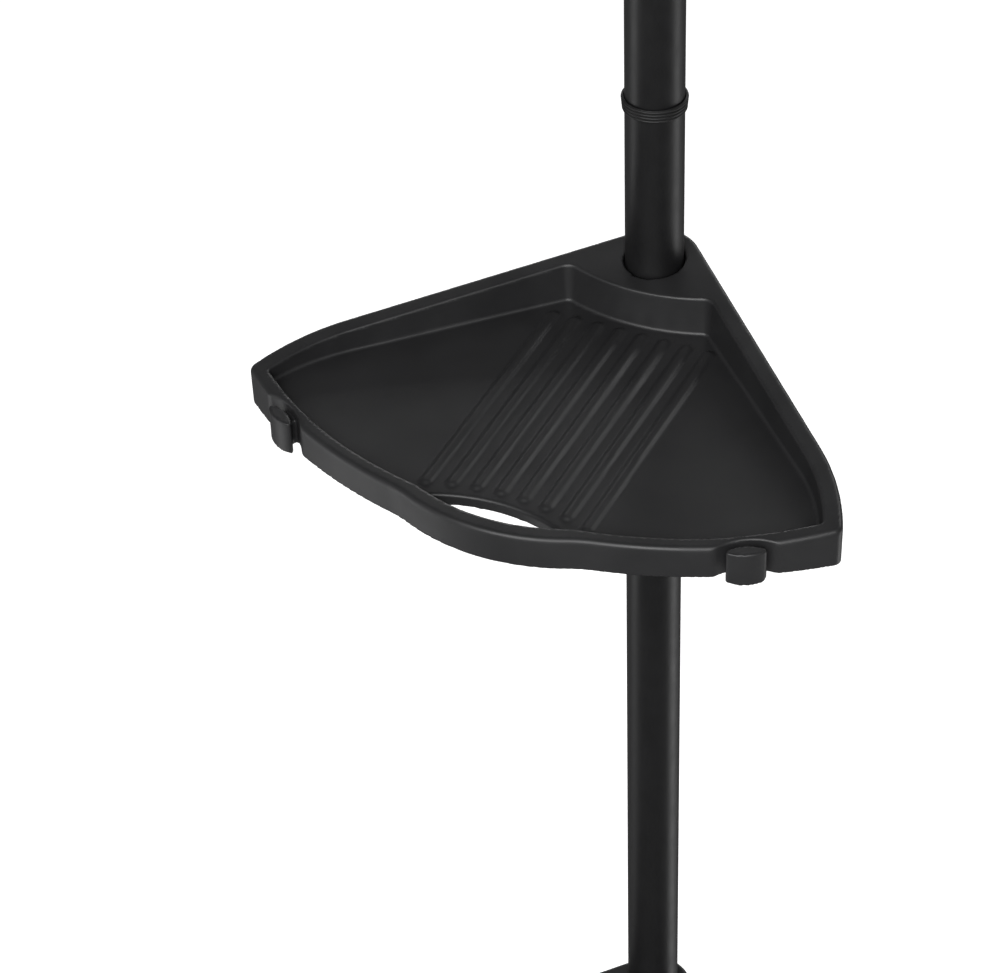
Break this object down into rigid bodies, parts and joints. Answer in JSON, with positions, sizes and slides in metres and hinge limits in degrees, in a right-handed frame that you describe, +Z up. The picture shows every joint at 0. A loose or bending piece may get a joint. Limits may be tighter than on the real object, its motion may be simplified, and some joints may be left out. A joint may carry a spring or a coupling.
{
  "type": "tension pole shower caddy",
  "caption": "Floor-to-ceiling tension pole with raked corner trays, each with a ribbed floor, a drain slot and hooks, on split sleeves",
  "frame": {"origin": "centre of the floor pad's underside, on the pole's axis", "axes": "+Z up along the pole, +Y towards the corner of the walls, trays reach towards -Y and are mirrored about X=0"},
  "size_m": [0.262, 0.1993, 2.44],
  "materials": {
    "tray_plastic": "satin moulded black",
    "sleeve_plastic": "satin moulded black",
    "fitting_plastic": "satin moulded black",
    "tube_enamel": "satin black coating",
    "pad_rubber": "matt black",
    "spring_steel": "drawn wire"
  },
  "bodies": {
    "pole": {"floor_pad": "pad_rubber", "floor_foot": "fitting_plastic", "lower_tube": "tube_enamel", "lower_joint": "fitting_plastic", "middle_tube": "tube_enamel", "middle_joint": "fitting_plastic", "upper_tube": "tube_enamel", "upper_joint": "fitting_plastic", "spring_tube": "tube_enamel", "spring_seat": "fitting_plastic", "tension_spring": "spring_steel", "guide_bush": "fitting_plastic", "end_collar": "fitting_plastic"},
    "plunger": {"plunger_plug": "fitting_plastic", "plunger_tube": "tube_enamel", "ceiling_foot": "fitting_plastic", "ceiling_pad": "pad_rubber"},
    "sleeve_1": {"sleeve_front_1": "sleeve_plastic", "sleeve_back_1": "sleeve_plastic"},
    "tray_1": {"tray_1": "tray_plastic"},
    "sleeve_2": {"sleeve_front_2": "sleeve_plastic", "sleeve_back_2": "sleeve_plastic"},
    "tray_2": {"tray_2": "tray_plastic"},
    "sleeve_3": {"sleeve_front_3": "sleeve_plastic", "sleeve_back_3": "sleeve_plastic"},
    "tray_3": {"tray_3": "tray_plastic"},
    "sleeve_4": {"sleeve_front_4": "sleeve_plastic", "sleeve_back_4": "sleeve_plastic"},
    "tray_4": {"tray_4": "tray_plastic"}
  },
  "joints": [
    {"name": "plunger_slide", "type": "slide", "parent": "pole", "child": "plunger", "axis": [0, 0, 1], "range_m": [-0.06, 0], "stiffness_N_per_m": 900, "springref_m": 0.05, "deforming": ["tension_spring"]},
    {"name": "height_1", "type": "slide", "parent": "pole", "child": "sleeve_1", "axis": [0, 0, 1], "range_m": [-0.15, 0.15]},
    {"name": "swivel_1", "type": "hinge", "parent": "sleeve_1", "child": "tray_1", "pos_m": [0, 0, 0.358], "axis": [0, 0, 1], "range_deg": [-90, 90]},
    {"name": "height_2", "type": "slide", "parent": "pole", "child": "sleeve_2", "axis": [0, 0, 1], "range_m": [-0.15, 0.15]},
    {"name": "swivel_2", "type": "hinge", "parent": "sleeve_2", "child": "tray_2", "pos_m": [0, 0, 0.81], "axis": [0, 0, 1], "range_deg": [-90, 90]},
    {"name": "height_3", "type": "slide", "parent": "pole", "child": "sleeve_3", "axis": [0, 0, 1], "range_m": [-0.015, 0.15]},
    {"name": "swivel_3", "type": "hinge", "parent": "sleeve_3", "child": "tray_3", "pos_m": [0, 0, 1.262], "axis": [0, 0, 1], "range_deg": [-90, 90]},
    {"name": "height_4", "type": "slide", "parent": "pole", "child": "sleeve_4", "axis": [0, 0, 1], "range_m": [-0.15, 0.06]},
    {"name": "swivel_4", "type": "hinge", "parent": "sleeve_4", "child": "tray_4", "pos_m": [0, 0, 1.714], "axis": [0, 0, 1], "range_deg": [-90, 90]}
  ]
}
